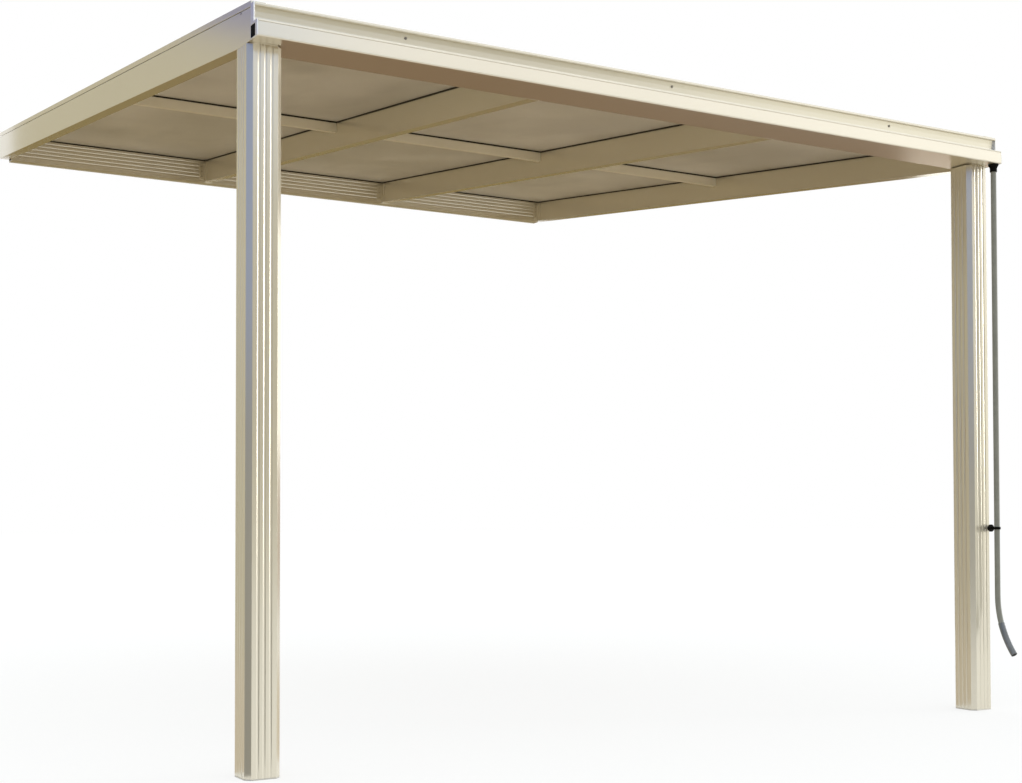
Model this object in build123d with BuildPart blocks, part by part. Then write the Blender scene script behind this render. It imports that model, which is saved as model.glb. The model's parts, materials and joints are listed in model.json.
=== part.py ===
"""Lean-to patio cover: fluted posts, gutter beam, sloping rafters and milky roof panels.

The back of the wall ledger lies in the plane Y = 0, against the wall. The cover reaches
towards -Y, X runs along the wall and Z is up. Z = 0 is a level line on the ledger's back.
"""

import os
from math import cos, radians, sin, tan

from build123d import *

# Overall sizes
width = 3050.0
projection = 3390.0
clear_height = 2113.0
datum_height = 2500.0
slope = 6.25

# Posts with their feet and heads
post_size = 107.0
post_corner = 15.0
post_wall = 3.5
flute_count = 3
flute_radius = 8.5
flute_depth = 1.3
foot_plate = 4.0
foot_sleeve_height = 90.0
head_plate = 4.0
head_sleeve_height = 70.0
sleeve_wall = 3.0
sleeve_clearance = 0.3

# Front beam: a nose in front, a box on the posts and a gutter on top
nose_overhang = 68.0
nose_depth = 48.0
nose_height = 49.0
nose_corner = 4.0
nose_groove_drop = 7.0
nose_groove = 2.0
beam_behind_post_front = 105.0
beam_wall = 3.0
gutter_setback = 34.0
gutter_height = 106.0
gutter_lean = 4.5
gutter_hollow = 1.8
gutter_lip_depth = 6.0
gutter_lip_height = 10.0
gutter_lip_corner = 4.0
gutter_end_plate = 5.0
plug_rise = 4.0
plug_height = 36.0
plug_setback = 14.0
plug_depth = 14.0
plug_clearance = 0.3

# Rafters, purlins and cap strips
side_rafter_width = 45.0
rafter_width = 40.0
rafter_height = 104.0
rafter_wall = 2.5
rafter_start_height = 2105.0
rafter_end_plate = 3.0
purlin_setback = 1637.0
purlin_depth = 25.0
purlin_height = 39.0
purlin_wall = 2.0
cap_thickness = 4.0
cap_spine = 12.0
cap_side_wall = 3.0
cap_side_gap = 2.0

# Roof panels, their seals and the strips over their joints
panel_thickness = 10.0
panel_bearing = 12.0
panel_drip = 45.0
panel_joint_gap = 4.0
seal_thickness = 6.0
seal_width = 14.0
seal_show = 2.0
joint_strip_width = 30.0
joint_strip_thickness = 2.0

# Wall ledger with its brackets and cover
ledger_depth = 48.0
ledger_lip = 8.0
ledger_wall = 3.0
ledger_upstand = 52.0
ledger_flute_count = 5
ledger_flute_pitch = 17.8
ledger_flute_start = 26.7
bracket_leg = 30.0
bracket_thickness = 3.0
bracket_margin = 8.0
flashing_thickness = 2.0
flashing_reach = 110.0
flashing_leg = 8.0
wall_bolt_diameter = 9.0
wall_bolt_count = 4
wall_bolt_spacing = 930.0
wall_bolt_drop = 11.0

# Downpipe
pipe_diameter = 21.0
pipe_wall = 1.5
outlet_from_end = 21.0
outlet_from_front = 24.0
outlet_diameter = 40.0
outlet_height = 30.0
outlet_neck_wall = 3.0
outlet_seat = 15.0
bend_height = 444.0
bend_radius = 364.0
pipe_bend_angle = 19.0
shoe_bend_angle = 19.0
shoe_sleeve = 1.5
shoe_overlap_angle = 2.0
clip_height = 702.0
clip_ring_wall = 3.0
clip_ring_height = 10.0
clip_stem_diameter = 8.0
clip_disc_diameter = 28.0
clip_disc_thickness = 8.0
clip_disc_gap = 10.0

# Places worked out from the sizes above
half_width = width / 2
ground = -datum_height
rise = tan(radians(slope))
front = -projection
post_front = front + nose_overhang
post_centre_y = post_front + post_size / 2
post_x = half_width - post_size / 2
beam_under = clear_height - datum_height
post_top = beam_under
box_under = post_top + head_plate
nose_back = front + nose_depth
nose_top = beam_under + nose_height
beam_back = post_front + beam_behind_post_front
gutter_front = front + gutter_setback
gutter_top = beam_under + gutter_height
beam_half = half_width - gutter_end_plate
ledger_front = -ledger_depth
purlin_front = post_front + purlin_setback
purlin_middle = purlin_front + purlin_depth / 2
inner_face = half_width - side_rafter_width
bay_names = ["left", "middle", "right"]
bay_count = len(bay_names)
bay_width = (2 * inner_face - (bay_count - 1) * rafter_width) / bay_count
bay_starts = [-inner_face + n * (bay_width + rafter_width) for n in range(bay_count)]
rafter_starts = [start - rafter_width for start in bay_starts[1:]]
rafter_names = ["left", "right"]
panel_low = rafter_height + seal_thickness
panel_high = panel_low + panel_thickness
cap_high = panel_high + cap_thickness
panel_front = beam_back - panel_drip
sides = {"left": -1, "right": 1}
pipe_x = half_width - outlet_from_end
pipe_y = front + outlet_from_front


def underside(y):
    """Height of the rafters' underside at a place y in front of the wall."""
    return rafter_start_height - datum_height + rise * (y - post_front)


def slanted_bar(x_span, y_span, heights, mode=Mode.ADD):
    """Make a bar that follows the roof slope and has plumb ends.

    The heights are measured plumb from the rafters' underside.
    """
    y_low, y_high = y_span
    low, high = heights
    with BuildSketch(Plane.YZ.offset(x_span[0])) as profile:
        with BuildLine():
            Polyline(
                (y_low, underside(y_low) + low),
                (y_high, underside(y_high) + low),
                (y_high, underside(y_high) + high),
                (y_low, underside(y_low) + high),
                close=True,
            )
        make_face()
    extrude(profile.sketch, amount=x_span[1] - x_span[0], mode=mode)


def block(x_span, y_span, z_span, mode=Mode.ADD):
    """Make a square block between pairs of limits."""
    with BuildSketch(Plane.XY.offset(z_span[0])) as base:
        with Locations(((x_span[0] + x_span[1]) / 2, (y_span[0] + y_span[1]) / 2)):
            Rectangle(x_span[1] - x_span[0], y_span[1] - y_span[0])
    extrude(base.sketch, amount=z_span[1] - z_span[0], mode=mode)


def side_span(sign, inner, outer):
    """Give the X limits of a piece at one side, from its distances to the middle."""
    return sorted((sign * inner, sign * outer))


def draw_post_outline(sketch, centre):
    """Draw the square of a post with its cut corners in the sketch."""
    with Locations(centre):
        Rectangle(post_size, post_size)
    chamfer(sketch.vertices(), length=post_corner)


def draw_nose_outline(sketch):
    """Draw the nose of the front beam, with round front corners, in the sketch."""
    with Locations((front, beam_under)):
        Rectangle(nose_depth, nose_height, align=Align.MIN)
    fillet(sketch.vertices().group_by(Axis.X)[0], radius=nose_corner)


def seat_on_post(x_span):
    """Cut a side rafter level where it lies on the post's top."""
    seat = (nose_back, post_front + post_size)
    block(x_span, seat, (underside(nose_back), post_top), mode=Mode.SUBTRACT)


def finish(piece, label):
    """Name a finished piece and write it out."""
    piece.part.label = label
    export_step(piece.part, f"parts/{label}.step")


os.makedirs("parts", exist_ok=True)

# Posts: square tubes with cut corners and with flutes on every face
flute_pitch = (post_size - 2 * post_corner) / (flute_count + 1)
for side, sign in sides.items():
    centre = (sign * post_x, post_centre_y)
    with BuildPart() as post:
        with BuildSketch(Plane.XY.offset(ground + foot_plate)) as section:
            draw_post_outline(section, centre)
            offset(amount=-post_wall, kind=Kind.INTERSECTION, mode=Mode.SUBTRACT)
            with Locations(centre):
                with PolarLocations(post_size / 2 + flute_radius - flute_depth, 4):
                    with GridLocations(0, flute_pitch, 1, flute_count):
                        Circle(flute_radius, mode=Mode.SUBTRACT)
        extrude(amount=post_top - ground - foot_plate)
    finish(post, f"post_{side}")

    with BuildPart() as foot:
        with BuildSketch(Plane.XY.offset(ground)) as plate:
            draw_post_outline(plate, centre)
        extrude(amount=foot_plate)
        with BuildSketch(Plane.XY.offset(ground + foot_plate)) as sleeve:
            draw_post_outline(sleeve, centre)
            offset(amount=-post_wall - sleeve_clearance, kind=Kind.INTERSECTION)
            offset(amount=-sleeve_wall, kind=Kind.INTERSECTION, mode=Mode.SUBTRACT)
        extrude(amount=foot_sleeve_height)
    finish(foot, f"post_foot_{side}")

    # The head carries the beam beside the side rafter, and its tongue drops into the post
    head_outer = inner_face
    head_inner = half_width - post_size + post_corner
    tongue = post_wall + sleeve_clearance
    with BuildPart() as head:
        block(
            side_span(sign, head_inner, head_outer),
            (post_front, post_front + beam_behind_post_front),
            (post_top, box_under),
        )
        block(
            side_span(sign, head_inner, head_inner + sleeve_wall),
            (post_front + tongue + post_corner, post_front + post_size - tongue - post_corner),
            (post_top - head_sleeve_height, post_top),
        )
    finish(head, f"post_head_{side}")

# Front beam: nose and lip over the whole width, box and gutter between the side rafters
with BuildPart() as beam:
    with BuildSketch(Plane.YZ.offset(-beam_half)) as front_profile:
        draw_nose_outline(front_profile)
        with Locations((front + beam_wall, beam_under + beam_wall)):
            Rectangle(
                nose_depth - 2 * beam_wall,
                nose_height - 2 * beam_wall,
                align=Align.MIN,
                mode=Mode.SUBTRACT,
            )
        with Locations((front, nose_top - nose_groove_drop)):
            Rectangle(nose_groove, nose_groove, align=Align.MIN, mode=Mode.SUBTRACT)
        with BuildLine():
            face_foot = (gutter_front + gutter_lean, nose_top - beam_wall)
            back_foot = (gutter_front + gutter_lean + beam_wall, nose_top - beam_wall)
            face = SagittaArc(face_foot, (gutter_front, gutter_top), -gutter_hollow)
            back = SagittaArc(back_foot, (gutter_front + beam_wall, gutter_top), -gutter_hollow)
            Line(face @ 0, back @ 0)
            Line(face @ 1, back @ 1)
        make_face()
        with Locations((gutter_front - gutter_lip_depth, gutter_top - gutter_lip_height)):
            RectangleRounded(
                gutter_lip_depth + beam_wall, gutter_lip_height, gutter_lip_corner, align=Align.MIN
            )
    extrude(amount=2 * beam_half)
    with BuildSketch(Plane.YZ.offset(-inner_face)):
        with Locations((nose_back, box_under)):
            Rectangle(beam_back - nose_back, nose_top - box_under, align=Align.MIN)
            with Locations((beam_wall, beam_wall)):
                Rectangle(
                    beam_back - nose_back - 2 * beam_wall,
                    nose_top - box_under - 2 * beam_wall,
                    align=Align.MIN,
                    mode=Mode.SUBTRACT,
                )
        with BuildLine():
            Polyline(
                (beam_back - beam_wall, nose_top - beam_wall),
                (beam_back, nose_top - beam_wall),
                (beam_back, underside(beam_back) + rafter_height),
                (beam_back - beam_wall, underside(beam_back - beam_wall) + rafter_height),
                close=True,
            )
        make_face()
    extrude(amount=2 * inner_face)
    with BuildSketch(Plane.XY.offset(beam_under)):
        with Locations((pipe_x, pipe_y)):
            Circle(pipe_diameter / 2)
    extrude(amount=beam_wall, mode=Mode.SUBTRACT)
finish(beam, "gutter_beam")

# Ends of the front beam: black plugs in the nose, and plates that close the gutter front
for side, sign in sides.items():
    end_span = side_span(sign, beam_half, half_width)
    plug_front = front + plug_setback
    plug_low = beam_under + plug_rise
    with BuildPart() as plug:
        block(end_span, (plug_front, nose_back), (plug_low, plug_low + plug_height))
        block(
            side_span(sign, beam_half - plug_depth, beam_half),
            (front + beam_wall + plug_clearance, nose_back - beam_wall - plug_clearance),
            (beam_under + beam_wall + plug_clearance, nose_top - beam_wall - plug_clearance),
        )
    finish(plug, f"nose_plug_{side}")

    with BuildPart() as end_plate:
        with BuildSketch(Plane.YZ.offset(end_span[0])) as end_outline:
            draw_nose_outline(end_outline)
            with Locations((plug_front, plug_low)):
                Rectangle(
                    nose_back - plug_front, plug_height, align=Align.MIN, mode=Mode.SUBTRACT
                )
            with Locations((gutter_front - gutter_lip_depth, nose_top)):
                Rectangle(
                    nose_back - gutter_front + gutter_lip_depth,
                    gutter_top - nose_top,
                    align=Align.MIN,
                )
        extrude(amount=gutter_end_plate)
    finish(end_plate, f"gutter_end_{side}")

# Side rafters with their front end plates and cap strips
for side, sign in sides.items():
    body_span = (nose_back + rafter_end_plate, 0)
    outer_span = side_span(sign, inner_face, half_width)
    hollow_span = side_span(sign, inner_face + rafter_wall, half_width - rafter_wall)
    with BuildPart() as side_rafter:
        slanted_bar(outer_span, body_span, (0, rafter_height))
        slanted_bar(
            hollow_span, body_span, (rafter_wall, rafter_height - rafter_wall), mode=Mode.SUBTRACT
        )
        seat_on_post(outer_span)
    finish(side_rafter, f"side_rafter_{side}")

    with BuildPart() as rafter_end:
        slanted_bar(outer_span, (nose_back, nose_back + rafter_end_plate), (0, cap_high))
        seat_on_post(outer_span)
    finish(rafter_end, f"rafter_end_{side}")

    spine_inner = inner_face + panel_bearing + panel_joint_gap / 2
    with BuildPart() as side_cap:
        slanted_bar(outer_span, body_span, (panel_high, cap_high))
        slanted_bar(
            side_span(sign, spine_inner, spine_inner + cap_spine), body_span, (rafter_height, panel_high)
        )
        slanted_bar(
            side_span(sign, half_width - cap_side_wall, half_width),
            body_span,
            (rafter_height + cap_side_gap, panel_high),
        )
    finish(side_cap, f"side_cap_{side}")

# Rafters between the bays, each with its cap strip
for name, start in zip(rafter_names, rafter_starts):
    middle = start + rafter_width / 2
    with BuildPart() as rafter:
        slanted_bar((start, start + rafter_width), (beam_back, ledger_front), (0, rafter_height))
        slanted_bar(
            (start + rafter_wall, start + rafter_width - rafter_wall),
            (beam_back, ledger_front),
            (rafter_wall, rafter_height - rafter_wall),
            mode=Mode.SUBTRACT,
        )
    finish(rafter, f"rafter_{name}")

    with BuildPart() as cap:
        slanted_bar((start, start + rafter_width), (panel_front, -ledger_wall), (panel_high, cap_high))
        slanted_bar(
            (middle - cap_spine / 2, middle + cap_spine / 2),
            (beam_back, -ledger_wall),
            (rafter_height, panel_high),
        )
    finish(cap, f"cap_strip_{name}")

# One purlin, one seal frame, two panels and one joint strip in each bay
for name, start in zip(bay_names, bay_starts):
    bay_span = (start, start + bay_width)
    panel_span = (start - panel_bearing, start + bay_width + panel_bearing)
    front_fields = (beam_back + seal_show, purlin_front - seal_show)
    back_fields = (purlin_front + purlin_depth + seal_show, ledger_front - seal_show)
    with BuildPart() as purlin:
        slanted_bar(
            bay_span,
            (purlin_front, purlin_front + purlin_depth),
            (rafter_height - purlin_height, rafter_height),
        )
        slanted_bar(
            bay_span,
            (purlin_front + purlin_wall, purlin_front + purlin_depth - purlin_wall),
            (rafter_height - purlin_height + purlin_wall, rafter_height - purlin_wall),
            mode=Mode.SUBTRACT,
        )
    finish(purlin, f"purlin_{name}")

    with BuildPart() as seal:
        slanted_bar(
            (start + seal_show - seal_width, start + bay_width + seal_width - seal_show),
            (beam_back + seal_show - seal_width, ledger_front - seal_show + seal_width),
            (rafter_height, panel_low),
        )
        for fields in (front_fields, back_fields):
            slanted_bar(
                (start + seal_show, start + bay_width - seal_show),
                fields,
                (rafter_height, panel_low),
                mode=Mode.SUBTRACT,
            )
    finish(seal, f"seal_{name}")

    panel_rows = {
        "front": (panel_front, purlin_middle - panel_joint_gap / 2),
        "back": (purlin_middle + panel_joint_gap / 2, -ledger_wall - panel_joint_gap),
    }
    for row, panel_reach in panel_rows.items():
        with BuildPart() as panel:
            slanted_bar(panel_span, panel_reach, (panel_low, panel_high))
        finish(panel, f"roof_panel_{name}_{row}")

    with BuildPart() as joint_strip:
        slanted_bar(
            bay_span,
            (purlin_middle - joint_strip_width / 2, purlin_middle + joint_strip_width / 2),
            (panel_high, panel_high + joint_strip_thickness),
        )
        slanted_bar(
            bay_span,
            (purlin_middle - joint_strip_thickness / 2, purlin_middle + joint_strip_thickness / 2),
            (panel_low, panel_high),
        )
    finish(joint_strip, f"joint_strip_{name}")

# Wall ledger: a fluted hollow bar between the side rafters, with an upstand behind the panels
ledger_bottom = underside(ledger_front) - ledger_lip
ledger_top = underside(0) + rafter_height + ledger_upstand
flute_z = [
    ledger_bottom + ledger_flute_start + n * ledger_flute_pitch for n in range(ledger_flute_count)
]
with BuildPart() as ledger:
    with BuildSketch(Plane.YZ.offset(-inner_face)):
        with BuildLine():
            Polyline(
                (0, ledger_bottom),
                (ledger_front, ledger_bottom),
                (ledger_front, underside(ledger_front) + rafter_height),
                (-ledger_wall, underside(-ledger_wall) + rafter_height),
                (-ledger_wall, ledger_top),
                (0, ledger_top),
                close=True,
            )
        make_face()
        with BuildLine():
            Polyline(
                (-ledger_wall, ledger_bottom + ledger_wall),
                (ledger_front + ledger_wall, ledger_bottom + ledger_wall),
                (ledger_front + ledger_wall, underside(ledger_front) + rafter_height - ledger_wall),
                (-ledger_wall, underside(-ledger_wall) + rafter_height - ledger_wall),
                close=True,
            )
        make_face(mode=Mode.SUBTRACT)
        with Locations(*[(ledger_front - flute_radius + flute_depth, z) for z in flute_z]):
            Circle(flute_radius, mode=Mode.SUBTRACT)
    extrude(amount=2 * inner_face)
    bolt_row = Plane(
        (0, -ledger_wall, ledger_top - wall_bolt_drop), x_dir=(1, 0, 0), z_dir=(0, -1, 0)
    )
    with Locations(bolt_row):
        with GridLocations(wall_bolt_spacing, 0, wall_bolt_count, 1):
            Hole(wall_bolt_diameter / 2, depth=ledger_wall)
finish(ledger, "wall_ledger")

# Brackets beside the rafters: one leg on the ledger's flutes, the other along the rafter
bracket_z = (
    underside(ledger_front) + bracket_margin,
    underside(ledger_front - bracket_leg) + rafter_height - bracket_margin,
)
with BuildPart() as brackets:
    for start in bay_starts:
        for face_x, into_bay in ((start, 1), (start + bay_width, -1)):
            leg_end = face_x + into_bay * bracket_leg
            leg_x = sorted((face_x, face_x + into_bay * bracket_leg))
            web_x = sorted((face_x, face_x + into_bay * bracket_thickness))
            block(leg_x, (ledger_front - bracket_thickness, ledger_front), bracket_z)
            block(web_x, (ledger_front - bracket_leg, ledger_front), bracket_z)
finish(brackets, "ledger_brackets")

# Cover strip from the ledger's upstand down over the panels' back ends
with BuildPart() as flashing:
    slanted_bar(
        (-inner_face, inner_face),
        (-flashing_reach, -ledger_wall),
        (cap_high, cap_high + flashing_thickness),
    )
    block(
        (-inner_face, inner_face),
        (-ledger_wall - flashing_thickness, -ledger_wall),
        (underside(-ledger_wall) + cap_high, underside(-ledger_wall) + cap_high + flashing_leg),
    )
finish(flashing, "wall_flashing")

# Downpipe: black outlet under the nose, tube, curved shoe and the clip on the post
pipe_centre = (pipe_x, pipe_y)
outlet_low = beam_under - outlet_height
pipe_top = outlet_low + outlet_seat
neck_radius = pipe_diameter / 2 + outlet_neck_wall
with BuildPart() as outlet:
    with BuildSketch(Plane.XZ.offset(-pipe_y)):
        with BuildLine():
            Polyline(
                (pipe_x + pipe_diameter / 2, outlet_low),
                (pipe_x + neck_radius, outlet_low),
                (pipe_x + neck_radius, pipe_top),
                (pipe_x + outlet_diameter / 2, beam_under - outlet_neck_wall),
                (pipe_x + outlet_diameter / 2, beam_under),
                (pipe_x + pipe_diameter / 2 - pipe_wall, beam_under),
                (pipe_x + pipe_diameter / 2 - pipe_wall, pipe_top),
                (pipe_x + pipe_diameter / 2, pipe_top),
                close=True,
            )
        make_face()
    revolve(axis=Axis((pipe_x, pipe_y, 0), (0, 0, 1)))
finish(outlet, "downpipe_outlet")

bend_z = ground + bend_height
with BuildPart() as downpipe:
    with BuildLine(Plane.YZ.offset(pipe_x)) as pipe_path:
        Line((pipe_y, pipe_top), (pipe_y, bend_z))
        JernArc((pipe_y, bend_z), (0, -1), bend_radius, -pipe_bend_angle)
    with BuildSketch(Plane((pipe_x, pipe_y, pipe_top), z_dir=(0, 0, -1))):
        Circle(pipe_diameter / 2)
        Circle(pipe_diameter / 2 - pipe_wall, mode=Mode.SUBTRACT)
    sweep()
finish(downpipe, "downpipe")

shoe_start_angle = radians(pipe_bend_angle - shoe_overlap_angle)
shoe_start = (
    pipe_y - bend_radius * (1 - cos(shoe_start_angle)),
    bend_z - bend_radius * sin(shoe_start_angle),
)
shoe_tangent = (-sin(shoe_start_angle), -cos(shoe_start_angle))
with BuildPart() as shoe:
    with BuildLine(Plane.YZ.offset(pipe_x)) as shoe_path:
        JernArc(shoe_start, shoe_tangent, bend_radius, -(shoe_overlap_angle + shoe_bend_angle))
    with BuildSketch(Plane((pipe_x, *shoe_start), z_dir=(0, *shoe_tangent))):
        Circle(pipe_diameter / 2 + shoe_sleeve)
        Circle(pipe_diameter / 2, mode=Mode.SUBTRACT)
    sweep()
finish(shoe, "downpipe_shoe")

clip_z = ground + clip_height
with BuildPart() as clip:
    with BuildSketch(Plane.XY.offset(clip_z - clip_ring_height / 2)):
        with Locations(pipe_centre):
            Circle(pipe_diameter / 2 + clip_ring_wall)
            Circle(pipe_diameter / 2, mode=Mode.SUBTRACT)
    extrude(amount=clip_ring_height)
    with BuildSketch(Plane((pipe_x, post_front, clip_z), z_dir=(0, -1, 0))):
        Circle(clip_stem_diameter / 2)
    extrude(amount=post_front - pipe_y - pipe_diameter / 2 - clip_ring_wall / 2)
    with BuildSketch(Plane((pipe_x, post_front - clip_disc_gap, clip_z), z_dir=(0, -1, 0))):
        Circle(clip_disc_diameter / 2)
    extrude(amount=clip_disc_thickness)
finish(clip, "pipe_clip")
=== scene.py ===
"""Patio cover: finishes, small parts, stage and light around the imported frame.

Every size and place comes from the frame. The coated and moulded pieces are copies of the
frame's solids with softened edges, and the screws and bolts are modelled here.
"""

import json
import logging
import math
from dataclasses import dataclass, field
from enum import Enum

import bmesh
import bpy
from mathutils import Matrix, Vector
from mathutils.bvhtree import BVHTree


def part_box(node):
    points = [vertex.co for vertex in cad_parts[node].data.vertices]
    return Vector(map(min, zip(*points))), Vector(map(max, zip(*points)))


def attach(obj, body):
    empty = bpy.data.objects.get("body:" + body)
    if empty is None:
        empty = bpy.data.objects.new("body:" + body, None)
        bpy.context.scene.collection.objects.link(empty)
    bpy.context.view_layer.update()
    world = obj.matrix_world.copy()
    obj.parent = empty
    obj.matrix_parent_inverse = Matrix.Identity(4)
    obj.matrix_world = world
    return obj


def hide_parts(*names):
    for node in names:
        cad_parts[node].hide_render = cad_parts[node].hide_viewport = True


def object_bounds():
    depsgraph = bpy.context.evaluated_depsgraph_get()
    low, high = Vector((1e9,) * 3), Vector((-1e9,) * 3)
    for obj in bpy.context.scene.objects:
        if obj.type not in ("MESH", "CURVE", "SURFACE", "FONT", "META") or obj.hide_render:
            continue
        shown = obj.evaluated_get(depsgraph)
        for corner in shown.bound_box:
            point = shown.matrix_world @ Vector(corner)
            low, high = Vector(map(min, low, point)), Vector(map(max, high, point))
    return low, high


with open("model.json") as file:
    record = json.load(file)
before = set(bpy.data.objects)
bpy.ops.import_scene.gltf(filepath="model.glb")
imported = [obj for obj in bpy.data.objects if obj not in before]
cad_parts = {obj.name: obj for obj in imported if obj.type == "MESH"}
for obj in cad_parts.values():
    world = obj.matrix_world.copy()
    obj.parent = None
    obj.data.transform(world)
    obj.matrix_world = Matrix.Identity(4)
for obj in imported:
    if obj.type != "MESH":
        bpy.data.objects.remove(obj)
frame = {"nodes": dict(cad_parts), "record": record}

CAD_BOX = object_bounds()
BODY = "root"
MM = 0.001

Colour = tuple[float, float, float]
Point = tuple[float, float, float]

log = logging.getLogger("patio_cover")


class Wire:
    """One output of a shader node, for use in Python expressions."""

    def __init__(self, graph: "Graph", socket: bpy.types.NodeSocket) -> None:
        """Keep the graph and the socket."""
        self.graph = graph
        self.socket = socket

    def math(self, operation: str, first: "Wire | float", second: "Wire | float") -> "Wire":
        """Add a Math node.

        Args:
            operation: The node's operation.
            first: Its first value.
            second: Its second value.

        Returns:
            The node's result.
        """
        return self.graph.node("ShaderNodeMath", {"operation": operation}, {0: first, 1: second})

    def __add__(self, other: "Wire | float") -> "Wire":
        """Add two values."""
        return self.math("ADD", self, other)

    __radd__ = __add__

    def __mul__(self, other: "Wire | float") -> "Wire":
        """Multiply two values."""
        return self.math("MULTIPLY", self, other)

    __rmul__ = __mul__

    def __or__(self, other: "Wire | float") -> "Wire":
        """Take the larger of two values, as for two masks."""
        return self.math("MAXIMUM", self, other)


class Graph:
    """The shader nodes of one material or of the world."""

    COLOUR_FACTOR = 0
    COLOUR_A = 6
    COLOUR_B = 7
    COLOUR_RESULT = 2

    def __init__(self, tree: bpy.types.NodeTree) -> None:
        """Start with an empty tree."""
        self.tree = tree
        tree.nodes.clear()

    def node(
        self,
        kind: str,
        settings: dict[str, object] | None = None,
        inputs: dict[int | str, object] | None = None,
        output: int | str = 0,
    ) -> Wire:
        """Add one node.

        Args:
            kind: The node's type.
            settings: Its settings, set first. "stops" are a ramp's (place, colour) pairs.
            inputs: Values or wires for its sockets, by name or number.
            output: The socket that is returned.

        Returns:
            The chosen output.
        """
        made = self.tree.nodes.new(kind)
        for name, value in (settings or {}).items():
            if name == "stops":
                self._set_stops(made.color_ramp, value)
            else:
                setattr(made, name, value)
        for key, value in (inputs or {}).items():
            if isinstance(value, Wire):
                self.tree.links.new(value.socket, made.inputs[key])
            else:
                made.inputs[key].default_value = value
        return Wire(self, made.outputs[output]) if made.outputs else Wire(self, made.inputs[0])

    @staticmethod
    def _set_stops(ramp: bpy.types.ColorRamp, stops: list[tuple[float, float]]) -> None:
        """Set a grey ramp's stops."""
        while len(ramp.elements) < len(stops):
            ramp.elements.new(1.0)
        for element, (place, grey) in zip(ramp.elements, stops):
            element.position = place
            element.color = (grey, grey, grey, 1.0)

    def object_point(self, scale: Point = (1.0, 1.0, 1.0)) -> Wire:
        """Give the place on the object, in metres, with each axis scaled."""
        place = self.node("ShaderNodeTexCoord", output="Object")
        values = {"Vector": place, "Scale": scale}
        return self.node("ShaderNodeMapping", {"vector_type": "POINT"}, values)

    def noise(
        self, scale: float, detail: float = 2.0, stretch: Point = (1.0, 1.0, 1.0)
    ) -> Wire:
        """Give soft noise from 0 to 1.

        Args:
            scale: Lumps per metre.
            detail: How many finer layers it has.
            stretch: Scale of each axis, smaller for longer lumps.

        Returns:
            The noise value.
        """
        values = {"Vector": self.object_point(stretch), "Scale": scale, "Detail": detail}
        return self.node("ShaderNodeTexNoise", {"noise_dimensions": "3D"}, values)

    def ramp(self, value: Wire, stops: list[tuple[float, float]]) -> Wire:
        """Run a value through a grey ramp."""
        return self.node("ShaderNodeValToRGB", {"stops": stops}, {"Fac": value})

    def mix(self, factor: Wire | float, first: object, second: object) -> Wire:
        """Mix two colours, each a wire or a colour."""
        inputs = {
            self.COLOUR_FACTOR: factor,
            self.COLOUR_A: self._rgba(first),
            self.COLOUR_B: self._rgba(second),
        }
        return self.node("ShaderNodeMix", {"data_type": "RGBA"}, inputs, self.COLOUR_RESULT)

    @staticmethod
    def _rgba(colour: object) -> object:
        """Give a colour its fourth value."""
        return colour if isinstance(colour, Wire) else (*colour, 1.0)

    def bump(self, height: Wire, strength: float, distance: float) -> Wire:
        """Turn a height into a normal.

        Args:
            height: The height, from 0 to 1.
            strength: How much of the bump shows.
            distance: The height of 1, in metres.

        Returns:
            The bumped normal.
        """
        values = {"Strength": strength, "Distance": distance, "Height": height}
        return self.node("ShaderNodeBump", None, values, "Normal")

    def principled(self, **values: object) -> Wire:
        """Add the main surface shader, with socket names given with underscores."""
        inputs = {name.replace("_", " "): value for name, value in values.items()}
        return self.node("ShaderNodeBsdfPrincipled", None, inputs)

    def surface(self, shader: Wire, kind: str = "ShaderNodeOutputMaterial") -> None:
        """Send a shader to the tree's output."""
        self.node(kind, None, {"Surface": shader})


class Grain(Enum):
    """The way a piece was drawn through its die, as the stretch of its fine lines."""

    ALONG_X = (0.02, 1.0, 1.0)
    ALONG_Y = (1.0, 0.02, 0.25)
    ALONG_Z = (1.0, 1.0, 0.02)
    NONE = (1.0, 1.0, 1.0)


@dataclass(frozen=True)
class Finish:
    """A finish with a name, the record's slot it belongs to and a base colour."""

    name: str
    slot: str
    colour: Colour

    def material(self) -> bpy.types.Material:
        """Give the finish's material, made on its first use."""
        made = bpy.data.materials.get(self.name)
        if made is None:
            made = bpy.data.materials.new(self.name)
            made.use_nodes = True
            graph = Graph(made.node_tree)
            graph.surface(self.shader(graph))
        return made

    def shade(self, share: float) -> Colour:
        """Give the base colour times a share."""
        return tuple(min(1.0, value * share) for value in self.colour)

    def shader(self, graph: Graph) -> Wire:
        """Make the finish's surface shader."""
        return graph.principled(Base_Color=(*self.colour, 1.0))


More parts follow.
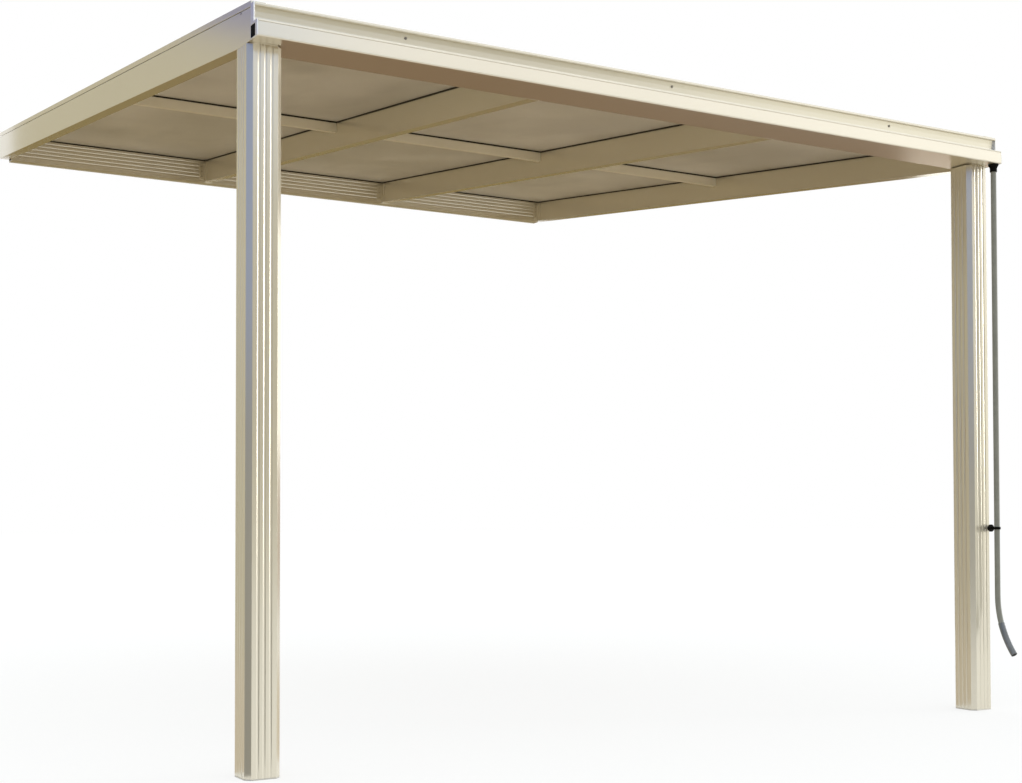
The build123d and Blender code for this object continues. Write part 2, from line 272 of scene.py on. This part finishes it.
@dataclass(frozen=True)
class SatinCoat(Finish):
    """Metallic coating on drawn metal, with fine die lines and a little dust on top."""

    grain: Grain = Grain.NONE
    metallic: float = 0.55
    roughness: float = 0.20
    dust: Colour = (0.50, 0.47, 0.40)
    clouds_per_metre: float = 1.3
    lines_per_metre: float = 1200.0
    grit_per_metre: float = 1800.0
    relief: float = 0.02 * MM

    def shader(self, graph: Graph) -> Wire:
        """Make the coated surface."""
        cloud = graph.noise(self.clouds_per_metre, 3.0)
        lines = graph.noise(self.lines_per_metre, 2.0, self.grain.value)
        grit = graph.noise(self.grit_per_metre, 1.0)
        toned = graph.mix(cloud, self.shade(0.95), self.shade(1.05))
        lined = graph.mix(lines * 0.15, toned, self.shade(0.88))
        up = graph.node("ShaderNodeNewGeometry", output="Normal")
        height = graph.node("ShaderNodeSeparateXYZ", None, {"Vector": up}, "Z")
        on_top = graph.ramp(height, [(0.7, 0.0), (1.0, 1.0)])
        dusty = on_top * graph.ramp(cloud, [(0.3, 0.1), (0.7, 0.7)])
        return graph.principled(
            Base_Color=graph.mix(dusty, lined, self.dust),
            Metallic=self.metallic,
            Roughness=self.roughness + lines * 0.06 + dusty * 0.3,
            Normal=graph.bump(lines * 0.5 + grit * 0.5, 0.1, self.relief),
        )


@dataclass(frozen=True)
class MilkySheet(Finish):
    """Cloudy plastic sheet that lets some light through."""

    transmission: float = 0.25
    clouds_per_metre: float = 2.1
    smears_per_metre: float = 5.0
    smear_stretch: Point = (1.0, 0.35, 1.0)
    relief: float = 0.5 * MM

    def shader(self, graph: Graph) -> Wire:
        """Make the cloudy sheet."""
        cloud = graph.ramp(graph.noise(self.clouds_per_metre, 3.0), [(0.32, 0.0), (0.68, 1.0)])
        streaks = graph.noise(self.smears_per_metre, 4.0, self.smear_stretch)
        smear = graph.ramp(streaks, [(0.55, 0.0), (0.8, 1.0)])
        toned = graph.mix(cloud, self.shade(0.86), self.shade(1.08))
        stained = graph.mix(smear * 0.35, toned, self.shade(0.6))
        return graph.principled(
            Base_Color=stained,
            Roughness=0.38 + cloud * 0.2,
            Transmission_Weight=self.transmission,
            IOR=1.5,
            Normal=graph.bump(cloud, 0.2, self.relief),
        )


@dataclass(frozen=True)
class Rubber(Finish):
    """Dull dark rubber with a dry bloom."""

    bloom_per_metre: float = 40.0
    grain_per_metre: float = 900.0
    relief: float = 0.08 * MM

    def shader(self, graph: Graph) -> Wire:
        """Make the rubber."""
        bloom = graph.noise(self.bloom_per_metre, 3.0)
        return graph.principled(
            Base_Color=graph.mix(bloom, self.shade(0.7), self.shade(1.8)),
            Roughness=0.62 + bloom * 0.2,
            Normal=graph.bump(graph.noise(self.grain_per_metre, 2.0), 0.4, self.relief),
        )


@dataclass(frozen=True)
class MouldedPlastic(Finish):
    """Moulded plastic with a fine spark-eroded grain."""

    roughness: float = 0.42
    coat: float = 0.0
    gloss: float = 0.4
    mottle_per_metre: float = 25.0
    grain_per_metre: float = 2200.0
    relief: float = 0.04 * MM

    def shader(self, graph: Graph) -> Wire:
        """Make the moulded plastic."""
        mottle = graph.noise(self.mottle_per_metre, 3.0)
        grain = graph.noise(self.grain_per_metre, 1.0)
        return graph.principled(
            Base_Color=graph.mix(mottle, self.shade(0.85), self.shade(1.2)),
            Roughness=self.roughness + mottle * 0.1,
            Coat_Weight=self.coat,
            Specular_IOR_Level=self.gloss,
            Normal=graph.bump(grain, 0.3, self.relief),
        )


@dataclass(frozen=True)
class BareMetal(Finish):
    """Uncoated metal with a dull oxide bloom."""

    roughness: float = 0.34
    metallic: float = 0.9
    bloom_per_metre: float = 30.0
    grain_per_metre: float = 1500.0
    relief: float = 0.03 * MM

    def shader(self, graph: Graph) -> Wire:
        """Make the bare metal."""
        bloom = graph.noise(self.bloom_per_metre, 4.0)
        return graph.principled(
            Base_Color=graph.mix(bloom, self.shade(0.85), self.shade(1.1)),
            Metallic=self.metallic,
            Roughness=self.roughness + bloom * 0.15,
            Normal=graph.bump(graph.noise(self.grain_per_metre, 2.0), 0.2, self.relief),
        )


CHAMPAGNE: Colour = (0.80, 0.76, 0.65)
RAIL_COAT = SatinCoat("champagne_rail", "champagne_finish", CHAMPAGNE, Grain.ALONG_X)
SLOPE_COAT = SatinCoat("champagne_slope", "champagne_finish", CHAMPAGNE, Grain.ALONG_Y)
POST_COAT = SatinCoat("champagne_post", "champagne_finish", CHAMPAGNE, Grain.ALONG_Z)
# Same champagne coat as the frame; the purlins' paler base colour is painted light, for the light
# their faces catch under the roof.
LIT_PURLIN_COAT = SatinCoat(
    "champagne_purlin_painted_light", "champagne_finish", (0.90, 0.87, 0.78), Grain.ALONG_X, 0.1, 0.30
)
# Same champagne coat; the end plates' near-white base colour is painted highlight, for the sunlit
# strip at each end of the beam.
HIGHLIGHT_END_COAT = SatinCoat(
    "champagne_end_plate_painted_highlight", "champagne_finish", (0.86, 0.85, 0.82), Grain.ALONG_Y
)
PLAIN_METAL = BareMetal("plain_aluminium", "plain_metal", (0.62, 0.61, 0.57))
SCREW_STEEL = BareMetal("screw_steel", "plain_metal", (0.26, 0.24, 0.21), 0.28)
SHEET = MilkySheet("milky_sheet", "panel_sheet", (0.73, 0.71, 0.66))
SEAL = Rubber("seal_rubber", "seal_rubber", (0.030, 0.026, 0.018))
BLACK = MouldedPlastic(
    "black_moulding", "black_plastic", (0.006, 0.006, 0.005), 0.6, 0.0, gloss=0.05
)
PIPE_COAT = MouldedPlastic("pipe_grey", "pipe_finish", (0.24, 0.25, 0.23), 0.45)
SHOE_GLOSS = MouldedPlastic("shoe_grey", "shoe_plastic", (0.16, 0.175, 0.195), 0.14, 0.3)


class Workbench:
    """Turns meshes into finished pieces and finds places on the frame's solids."""

    SMOOTH_ANGLE = math.radians(20)
    MERGE_DISTANCE = 0.01 * MM
    FLAT_ANGLE = math.radians(0.5)
    FLAT_WEIGHT = 90
    EDGE_SEGMENTS = 2

    def __init__(self) -> None:
        """Start with no search trees."""
        self._trees: dict[str, BVHTree] = {}

    def piece(self, name: str, form: bmesh.types.BMesh, finish: Finish) -> bpy.types.Object:
        """Make a riding piece from a bmesh.

        Args:
            name: The piece's name.
            form: Its mesh, which is used up.
            finish: Its finish.

        Returns:
            The new object.
        """
        mesh = bpy.data.meshes.new(name)
        form.to_mesh(mesh)
        form.free()
        mesh.shade_smooth()
        mesh.set_sharp_from_angle(angle=self.SMOOTH_ANGLE)
        made = bpy.data.objects.new(name, mesh)
        bpy.context.scene.collection.objects.link(made)
        mesh.materials.append(finish.material())
        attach(made, BODY)
        log.info("%s: %d faces", name, len(mesh.polygons))
        return made

    def soften(self, node: str, finish: Finish, radius: float) -> bpy.types.Object:
        """Stand a copy with softened edges in for one of the frame's solids.

        Args:
            node: The solid's node.
            finish: The copy's finish.
            radius: The edges' radius, in metres.

        Returns:
            The copy, which replaces the node.
        """
        form = bmesh.new()
        form.from_mesh(frame["nodes"][node].data)
        bmesh.ops.remove_doubles(form, verts=form.verts, dist=self.MERGE_DISTANCE)
        bmesh.ops.dissolve_limit(
            form, angle_limit=self.FLAT_ANGLE, verts=form.verts, edges=form.edges
        )
        made = self.piece(f"{node}_finished", form, finish)
        bevel = made.modifiers.new("soft_edges", "BEVEL")
        bevel.width = radius
        bevel.segments = self.EDGE_SEGMENTS
        bevel.limit_method = "ANGLE"
        bevel.angle_limit = self.SMOOTH_ANGLE
        bevel.harden_normals = True
        bevel.use_clamp_overlap = True
        flats = made.modifiers.new("flat_faces", "WEIGHTED_NORMAL")
        flats.mode = "FACE_AREA"
        flats.weight = self.FLAT_WEIGHT
        flats.keep_sharp = True
        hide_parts(node)
        return made

    def touch(self, node: str, start: Vector, way: Vector) -> tuple[Vector, Vector]:
        """Find where a ray meets a solid of the frame.

        Args:
            node: The solid's node.
            start: Where the ray starts, outside the solid.
            way: Its direction.

        Returns:
            The place it meets, and the solid's outward normal there.
        """
        if node not in self._trees:
            mesh = frame["nodes"][node].data
            corners = [vertex.co.copy() for vertex in mesh.vertices]
            faces = [tuple(polygon.vertices) for polygon in mesh.polygons]
            self._trees[node] = BVHTree.FromPolygons(corners, faces)
        place, normal, _, _ = self._trees[node].ray_cast(start, way)
        if place is None:
            raise ValueError(f"no face of {node} is met from {start}")
        return place, normal


@dataclass(frozen=True)
class PanHeadScrew:
    """A pan-head screw with a cross recess."""

    radius: float = 4.6 * MM
    height: float = 2.4 * MM
    recess: float = 0.62
    recess_depth: float = 1.3 * MM
    sides: int = 12
    steps: tuple[tuple[float, float], ...] = ((1.0, 0.45), (0.93, 0.3), (0.74, 0.25))
    rim: float = 0.08
    waist: float = 0.3

    def form(self) -> bmesh.types.BMesh:
        """Make one head, standing on the XY plane."""
        form = bmesh.new()
        bmesh.ops.create_circle(form, cap_ends=True, radius=self.radius, segments=self.sides)
        top = form.faces[:]
        for share, lift in self.steps:
            top = self._raise(form, top, share, lift * self.height)
        bmesh.ops.inset_individual(form, faces=top, thickness=self.radius * self.rim)
        self._cut_cross(form, top[0])
        sunk = bmesh.ops.extrude_discrete_faces(form, faces=top)["faces"]
        bmesh.ops.translate(form, verts=sunk[0].verts[:], vec=(0, 0, -self.recess_depth))
        return form

    def _raise(
        self, form: bmesh.types.BMesh, faces: list[bmesh.types.BMFace], share: float, lift: float
    ) -> list[bmesh.types.BMFace]:
        """Extrude the top face up and set its radius to a share of the head's."""
        raised = bmesh.ops.extrude_discrete_faces(form, faces=faces)["faces"]
        corners = raised[0].verts[:]
        now = corners[0].co.xy.length
        scale = share * self.radius / now
        bmesh.ops.scale(form, verts=corners, vec=(scale, scale, 1.0))
        bmesh.ops.translate(form, verts=corners, vec=(0, 0, lift))
        return raised

    def _cut_cross(self, form: bmesh.types.BMesh, face: bmesh.types.BMFace) -> None:
        """Pull every third corner in, so that the face is a cross."""
        for number, corner in enumerate(face.verts):
            reach = self.waist if number % 3 == 0 else 1.0
            corner.co.xy = corner.co.xy.normalized() * self.radius * self.recess * reach


FLUSH_SCREW = PanHeadScrew(height=0.35 * MM, recess_depth=0.25 * MM)
SMALL_SCREW = PanHeadScrew(radius=3.2 * MM, height=1.6 * MM, recess_depth=0.8 * MM)


@dataclass(frozen=True)
class HexBolt:
    """A hexagon bolt head on a round washer."""

    across: float = 13.0 * MM
    head: float = 5.5 * MM
    washer_radius: float = 8.5 * MM
    washer: float = 1.6 * MM
    washer_sides: int = 24
    rim: float = 0.25

    def form(self) -> bmesh.types.BMesh:
        """Make one head on its washer, standing on the XY plane."""
        form = bmesh.new()
        self._disc(form, self.washer_radius, self.washer_sides, 0.0, self.washer)
        corner_radius = self.across / 2 / math.cos(math.radians(30))
        self._disc(form, corner_radius, 6, self.washer, self.head)
        return form

    def _disc(
        self, form: bmesh.types.BMesh, radius: float, sides: int, base: float, height: float
    ) -> None:
        """Add a closed disc with a softened top rim."""
        low = bmesh.ops.create_circle(form, cap_ends=True, radius=radius, segments=sides)["verts"]
        bmesh.ops.translate(form, verts=low, vec=(0, 0, base))
        floor = low[0].link_faces[:]
        raised = bmesh.ops.extrude_face_region(form, geom=floor)["geom"]
        top = [item for item in raised if isinstance(item, bmesh.types.BMVert)]
        bmesh.ops.translate(form, verts=top, vec=(0, 0, height))
        rim = [edge for edge in form.edges if edge.verts[0] in top and edge.verts[1] in top]
        bmesh.ops.bevel(
            form,
            geom=rim,
            offset=height * self.rim,
            segments=1,
            profile=0.5,
            material=-1,
            affect="EDGES",
        )
        bmesh.ops.recalc_face_normals(form, faces=form.faces)


@dataclass
class FastenerRow:
    """A set of like fasteners, joined in one piece."""

    name: str
    kind: PanHeadScrew | HexBolt
    bench: Workbench
    finish: Finish = SCREW_STEEL
    places: list[tuple[Vector, Vector]] = field(default_factory=list)
    turn_step: float = 37.0

    def drive(self, node: str, start: Point, way: Point) -> None:
        """Add a fastener where a ray from outside meets a node."""
        self.places.append(self.bench.touch(node, Vector(start), Vector(way)))

    def build(self) -> bpy.types.Object:
        """Join the fasteners into one piece, each turned a little differently."""
        template = bpy.data.meshes.new("fastener")
        single = self.kind.form()
        single.to_mesh(template)
        single.free()
        form = bmesh.new()
        for number, (place, normal) in enumerate(self.places):
            before = len(form.verts)
            form.from_mesh(template)
            form.verts.ensure_lookup_table()
            turn = Matrix.Rotation(math.radians(self.turn_step * number), 4, "Z")
            seat = normal.to_track_quat("Z", "Y").to_matrix().to_4x4()
            bmesh.ops.transform(
                form, matrix=Matrix.Translation(place) @ seat @ turn, verts=form.verts[before:]
            )
        bpy.data.meshes.remove(template)
        return self.bench.piece(self.name, form, self.finish)


@dataclass
class FrontFrame:
    """The posts and the front beam with its ends."""

    bench: Workbench
    edge: float = 0.8 * MM
    screw_offset: float = -0.036
    bay_pitch: float = 1.0
    screw_below_top: float = 0.025

    def build(self) -> None:
        """Finish the posts and the beam, and drive the beam's screws."""
        for side in ("left", "right"):
            self.bench.soften(f"post_{side}", POST_COAT, self.edge)
            self.bench.soften(f"post_foot_{side}", PLAIN_METAL, self.edge / 2)
            self.bench.soften(f"post_head_{side}", POST_COAT, self.edge / 2)
            self.bench.soften(f"nose_plug_{side}", BLACK, self.edge)
            # The end plates take the paler copy of the coat, whose colour holds painted highlight.
            self.bench.soften(f"gutter_end_{side}", HIGHLIGHT_END_COAT, self.edge)
        self.bench.soften("gutter_beam", RAIL_COAT, self.edge * 0.75)
        screws = FastenerRow("gutter_screws", PanHeadScrew(), self.bench)
        low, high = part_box("gutter_end_left")
        for number in (-1, 0, 1):
            x = number * self.bay_pitch + self.screw_offset
            start = (x, low[1] - self.bay_pitch, high[2] - self.screw_below_top)
            screws.drive("gutter_beam", start, (0, 1, 0))
        screws.build()


@dataclass
class RoofFrame:
    """The rafters, their cap strips, the purlins and the ledger."""

    bench: Workbench
    edge: float = 0.8 * MM
    cap_screw_pitch: float = 0.40
    side_wall: float = 2.5 * MM
    closer: float = 2.0 * MM
    closer_lap: float = 3.0 * MM
    clear: float = 0.1
    fascia_screw_back: float = 0.076
    fascia_screw_z: float = -0.2895
    bracket_screw_in: float = 0.019
    bracket_screw_shares: tuple[float, ...] = (0.2, 0.5, 0.8)

    def build(self) -> None:
        """Finish the roof's bars and drive their screws."""
        for side in ("left", "right"):
            self.bench.soften(f"side_rafter_{side}", SLOPE_COAT, self.edge)
            self.bench.soften(f"rafter_end_{side}", SLOPE_COAT, self.edge / 2)
            self.bench.soften(f"side_cap_{side}", SLOPE_COAT, self.edge)
            self.bench.soften(f"rafter_{side}", SLOPE_COAT, self.edge)
            self.bench.soften(f"cap_strip_{side}", SLOPE_COAT, self.edge)
        for bay in ("left", "middle", "right"):
            # The purlins take the paler copy of the coat, whose colour holds painted light.
            self.bench.soften(f"purlin_{bay}", LIT_PURLIN_COAT, self.edge)
            self.bench.soften(f"joint_strip_{bay}", RAIL_COAT, self.edge / 2)
        self.bench.soften("wall_ledger", RAIL_COAT, self.edge * 0.6)
        self.bench.soften("ledger_brackets", RAIL_COAT, self.edge / 2)
        self.bench.soften("wall_flashing", RAIL_COAT, self.edge / 2)
        self._close_seats()
        self._drive_cap_screws()
        self._drive_fascia_screws()
        self._drive_bracket_screws()
        self._drive_wall_bolts()

    def _close_seats(self) -> None:
        """Lay a thin plate over the slot between each post and the beam's nose."""
        for side in ("left", "right"):
            low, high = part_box(f"side_rafter_{side}")
            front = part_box(f"rafter_end_{side}")[1][1]
            post_low, post_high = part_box(f"post_{side}")
            start = Vector((low[0] + self.side_wall, front, post_high[2]))
            back = post_low[1] + self.closer_lap
            end = Vector((high[0] - self.side_wall, back, post_high[2] + self.closer))
            form = bmesh.new()
            bmesh.ops.create_cube(form, size=1.0)
            bmesh.ops.scale(form, verts=form.verts, vec=end - start)
            bmesh.ops.translate(form, verts=form.verts, vec=(start + end) / 2)
            self.bench.piece(f"seat_closer_{side}", form, RAIL_COAT)

    def _drive_cap_screws(self) -> None:
        """Drive a row of screws down each cap strip."""
        screws = FastenerRow("cap_screws", PanHeadScrew(), self.bench)
        for node in ("cap_strip_left", "cap_strip_right", "side_cap_left", "side_cap_right"):
            low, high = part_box(node)
            count = int((high[1] - low[1]) / self.cap_screw_pitch)
            inset = (high[1] - low[1] - (count - 1) * self.cap_screw_pitch) / 2
            for number in range(count):
                y = low[1] + inset + number * self.cap_screw_pitch
                start = ((low[0] + high[0]) / 2, y, high[2] + self.clear)
                screws.drive(node, start, (0, 0, -1))
        screws.build()

    def _drive_fascia_screws(self) -> None:
        """Drive the screw near the front of each side rafter's outer face."""
        screws = FastenerRow("fascia_screws", FLUSH_SCREW, self.bench)
        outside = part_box("side_rafter_right")[1][0] + self.clear
        for side, sign in (("left", -1), ("right", 1)):
            low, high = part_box(f"side_rafter_{side}")
            start = (sign * outside, low[1] + self.fascia_screw_back, self.fascia_screw_z)
            screws.drive(f"side_rafter_{side}", start, (-sign, 0, 0))
        screws.build()

    def _drive_bracket_screws(self) -> None:
        """Drive three small screws into each bracket's leg on the ledger."""
        screws = FastenerRow("bracket_screws", SMALL_SCREW, self.bench)
        low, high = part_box("ledger_brackets")
        rafters = [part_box("rafter_left"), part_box("rafter_right")]
        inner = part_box("side_rafter_left")[1][0]
        edges = [(inner, 1), (-inner, -1)]
        for rafter_low, rafter_high in rafters:
            edges += [(rafter_low[0], -1), (rafter_high[0], 1)]
        for x, into_bay in edges:
            for share in self.bracket_screw_shares:
                z = low[2] + share * (high[2] - low[2])
                start = (x + into_bay * self.bracket_screw_in, low[1] - self.clear, z)
                screws.drive("ledger_brackets", start, (0, 1, 0))
        screws.build()

    def _drive_wall_bolts(self) -> None:
        """Set a hexagon bolt in each hole of the ledger's upstand."""
        bolts = FastenerRow("wall_bolts", HexBolt(), self.bench, PLAIN_METAL)
        face_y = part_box("wall_flashing")[1][1]
        for mount in frame["record"]["mounts"]:
            if mount["kind"] == "bolt_pattern":
                half = mount["dims"]["spacing_x_mm"] * MM / 2
                for x in (-half, half):
                    place = Vector((mount["pos_m"][0] + x, face_y, mount["pos_m"][2]))
                    bolts.places.append((place, Vector((0, -1, 0))))
        bolts.build()


@dataclass
class RoofPanels:
    """The milky sheets and their rubber seals."""

    bench: Workbench
    edge: float = 0.5 * MM

    def build(self) -> None:
        """Finish the six sheets and the three seals."""
        for bay in ("left", "middle", "right"):
            for row in ("front", "back"):
                self.bench.soften(f"roof_panel_{bay}_{row}", SHEET, self.edge)
            self.bench.soften(f"seal_{bay}", SEAL, self.edge)


@dataclass
class RainPipe:
    """The thin downpipe with its outlet, shoe and clip."""

    bench: Workbench
    edge: float = 0.5 * MM

    def build(self) -> None:
        """Finish the pipe's parts."""
        self.bench.soften("downpipe", PIPE_COAT, self.edge)
        self.bench.soften("downpipe_outlet", BLACK, self.edge)
        self.bench.soften("downpipe_shoe", SHOE_GLOSS, self.edge)
        self.bench.soften("pipe_clip", BLACK, self.edge)


@dataclass(frozen=True)
class Viewpoint:
    """The photograph's camera, found from the straight edges of the cover."""

    place: Point = (-3.0444, -7.3507, -1.7517)
    yaw: float = 30.72
    pitch: float = 1.49
    roll: float = -0.10
    focal_px: float = 1489.5
    axis_row_px: float = 478.2
    picture_px: tuple[int, int] = (1022, 783)
    sensor_mm: float = 36.0

    def build(self) -> None:
        """Make the camera and turn it the way the photograph looks."""
        data = bpy.data.cameras.new("photo_view")
        camera = bpy.data.objects.new("photo_view", data)
        bpy.context.scene.collection.objects.link(camera)
        wide, high = self.picture_px
        data.sensor_width = self.sensor_mm
        data.lens = self.sensor_mm * self.focal_px / wide
        data.shift_y = (self.axis_row_px - high / 2) / wide
        data.clip_end = 200.0
        yaw, pitch = math.radians(self.yaw), math.radians(self.pitch)
        ahead = Vector(
            (math.sin(yaw) * math.cos(pitch), math.cos(yaw) * math.cos(pitch), math.sin(pitch))
        )
        right = Vector((math.cos(yaw), -math.sin(yaw), 0.0))
        up = right.cross(ahead)
        level = Matrix((right, up, -ahead)).transposed().to_4x4()
        tilt = Matrix.Rotation(math.radians(self.roll), 4, "Z")
        camera.matrix_world = Matrix.Translation(self.place) @ level @ tilt
        bpy.context.scene.camera = camera


@dataclass(frozen=True)
class Card:
    """A plain card beside the object, upright unless its tilt says otherwise.

    It gives the coated metal something to mirror, as the surroundings do outdoors. Only gloss
    shows it: the camera doesn't see it, it lights nothing else and it throws no shadow.
    """

    name: str
    centre: Point
    size: tuple[float, float]
    turn: float
    colour: Colour
    tilt: float = 90.0

    def build(self) -> None:
        """Set the card in its place, facing the object."""
        form = bmesh.new()
        bmesh.ops.create_grid(form, x_segments=1, y_segments=1, size=0.5)
        place = (
            Matrix.Translation(self.centre)
            @ Matrix.Rotation(math.radians(self.turn), 4, "Z")
            @ Matrix.Rotation(math.radians(self.tilt), 4, "X")
            @ Matrix.Diagonal((*self.size, 1.0, 1.0))
        )
        bmesh.ops.transform(form, matrix=place, verts=form.verts)
        mesh = bpy.data.meshes.new(self.name)
        form.to_mesh(mesh)
        form.free()
        card = bpy.data.objects.new(self.name, mesh)
        bpy.context.scene.collection.objects.link(card)
        card.visible_camera = False
        card.visible_diffuse = False
        card.visible_shadow = False
        card.visible_transmission = False
        material = bpy.data.materials.new(self.name)
        material.use_nodes = True
        graph = Graph(material.node_tree)
        lit = {"Color": (*self.colour, 1), "Strength": 1.0}
        front = graph.node("ShaderNodeEmission", None, lit)
        back = graph.node("ShaderNodeBsdfTransparent")
        turned = graph.node("ShaderNodeNewGeometry", output="Backfacing")
        graph.surface(graph.node("ShaderNodeMixShader", None, {0: turned, 1: front, 2: back}))
        mesh.materials.append(material)


@dataclass(frozen=True)
class Stage:
    """The floor, the cards, the pale surroundings and the sun."""

    floor_reach: float = 60.0
    floor_share: float = 0.25
    floor_colour: Colour = (0.95, 0.95, 0.95)
    bounce: Colour = (0.46, 0.35, 0.22)
    sky: Colour = (0.95, 1.0, 1.0)
    sky_strength: float = 1.12
    sun_way: Point = (0.93, -0.35, 0.14)
    sun_colour: Colour = (1.0, 0.98, 0.94)
    sun_strength: float = 0.8
    sun_width: float = 15.0
    sun_distance: float = 10.0
    cards: tuple[Card, ...] = (
        Card("back_high_card", (1.45, 0.02, -0.5), (6.1, 0.9), 0.0, (0.22, 0.17, 0.06)),
        Card("back_low_card", (1.45, 0.02, -1.725), (6.1, 1.55), 0.0, (0.12, 0.05, 0.03)),
        Card("back_left_card", (-4.8, 0.02, -0.85), (6.4, 3.3), 0.0, (0.50, 0.45, 0.30)),
        Card("back_top_card", (-4.8, 0.02, 2.2), (6.4, 2.8), 0.0, (0.03, 0.06, 0.38)),
        Card("back_right_card", (7.05, 0.02, 0.125), (5.1, 2.75), 0.0, (2.0, 2.0, 1.9)),
        Card("right_low_card", (7.05, 0.02, -1.875), (5.1, 1.25), 0.0, (0.30, 0.15, 0.06)),
        Card("front_card", (-1.5, -16.0, 0.35), (21.0, 5.7), 180.0, (0.33, 0.29, 0.18)),
        Card("front_right_card", (17.5, -16.0, 0.35), (17.0, 5.7), 180.0, (0.98, 0.95, 0.80)),
        Card("front_left_card", (-4.0, -16.0, 4.6), (16.0, 2.8), 180.0, (0.70, 0.88, 1.30)),
        Card("front_high_card", (15.0, -16.0, 4.6), (22.0, 2.8), 180.0, (1.6, 1.6, 1.65)),
        Card("left_high_card", (-9.0, -8.0, 1.7), (16.0, 4.6), 90.0, (0.02, 0.14, 0.52)),
        Card("left_low_card", (-9.0, -8.0, -1.55), (16.0, 1.9), 90.0, (0.03, 0.03, 0.03)),
        Card("left_ground_card", (-5.03, -7.6, -2.495), (6.94, 8.7), 0.0, (0.04, 0.04, 0.04), 0.0),
        Card("back_ground_card", (-1.5, -1.6, -2.495), (5.8, 3.2), 0.0, (0.60, 0.51, 0.38), 0.0),
    )

    def build(self) -> None:
        """Set the floor, the surroundings, the sun and the colour management."""
        self._lay_floor()
        for card in self.cards:
            card.build()
        self._fill_world()
        self._hang_sun()
        bpy.context.scene.view_settings.view_transform = "Standard"

    @staticmethod
    def _seen(graph: Graph) -> Wire:
        """Give 1 for rays from the camera and for those reflected or passed by gloss or glass."""
        seen = graph.node("ShaderNodeLightPath", output="Is Camera Ray")
        gloss = graph.node("ShaderNodeLightPath", output="Is Glossy Ray")
        glass = graph.node("ShaderNodeLightPath", output="Is Transmission Ray")
        return seen | gloss | glass

    def _lay_floor(self) -> None:
        """Lay the floor at the height of the posts' feet."""
        form = bmesh.new()
        bmesh.ops.create_grid(form, x_segments=1, y_segments=1, size=self.floor_reach)
        bmesh.ops.translate(form, verts=form.verts, vec=(0, 0, CAD_BOX[0][2]))
        mesh = bpy.data.meshes.new("floor")
        form.to_mesh(mesh)
        form.free()
        floor = bpy.data.objects.new("floor", mesh)
        bpy.context.scene.collection.objects.link(floor)
        material = bpy.data.materials.new("pale_floor")
        material.use_nodes = True
        graph = Graph(material.node_tree)
        white = graph.node("ShaderNodeEmission", None, {"Color": (1, 1, 1, 1), "Strength": 1.0})
        pale = graph.node("ShaderNodeBsdfDiffuse", None, {"Color": (*self.floor_colour, 1)})
        shown = graph.node("ShaderNodeMixShader", None, {0: self.floor_share, 1: white, 2: pale})
        warm = graph.node("ShaderNodeBsdfDiffuse", None, {"Color": (*self.bounce, 1)})
        mixed = graph.node("ShaderNodeMixShader", None, {0: self._seen(graph), 1: warm, 2: shown})
        graph.surface(mixed)
        mesh.materials.append(material)

    def _fill_world(self) -> None:
        """Make the surroundings white to look at and a pale sky for the light."""
        world = bpy.data.worlds.new("surroundings")
        world.use_nodes = True
        bpy.context.scene.world = world
        graph = Graph(world.node_tree)
        white = graph.node("ShaderNodeBackground", None, {"Color": (1, 1, 1, 1), "Strength": 1.0})
        sky = graph.node(
            "ShaderNodeBackground", None, {"Color": (*self.sky, 1), "Strength": self.sky_strength}
        )
        mixed = graph.node("ShaderNodeMixShader", None, {0: self._seen(graph), 1: sky, 2: white})
        graph.surface(mixed, "ShaderNodeOutputWorld")

    def _hang_sun(self) -> None:
        """Hang a low, soft and slightly warm sun to the right of the front."""
        data = bpy.data.lights.new("low_sun", "SUN")
        data.energy = self.sun_strength
        data.color = self.sun_colour
        data.angle = math.radians(self.sun_width)
        sun = bpy.data.objects.new("low_sun", data)
        bpy.context.scene.collection.objects.link(sun)
        sun.rotation_euler = Vector(self.sun_way).to_track_quat("Z", "Y").to_euler()
        sun.location = Vector(self.sun_way) * self.sun_distance


def main() -> None:
    """Build the cover's pieces in order, then the camera and the stage."""
    logging.basicConfig(level=logging.INFO, format="%(message)s")
    bench = Workbench()
    Viewpoint().build()
    Stage().build()
    for part in (FrontFrame(bench), RoofFrame(bench), RoofPanels(bench), RainPipe(bench)):
        part.build()


if __name__ == "__main__":
    main()
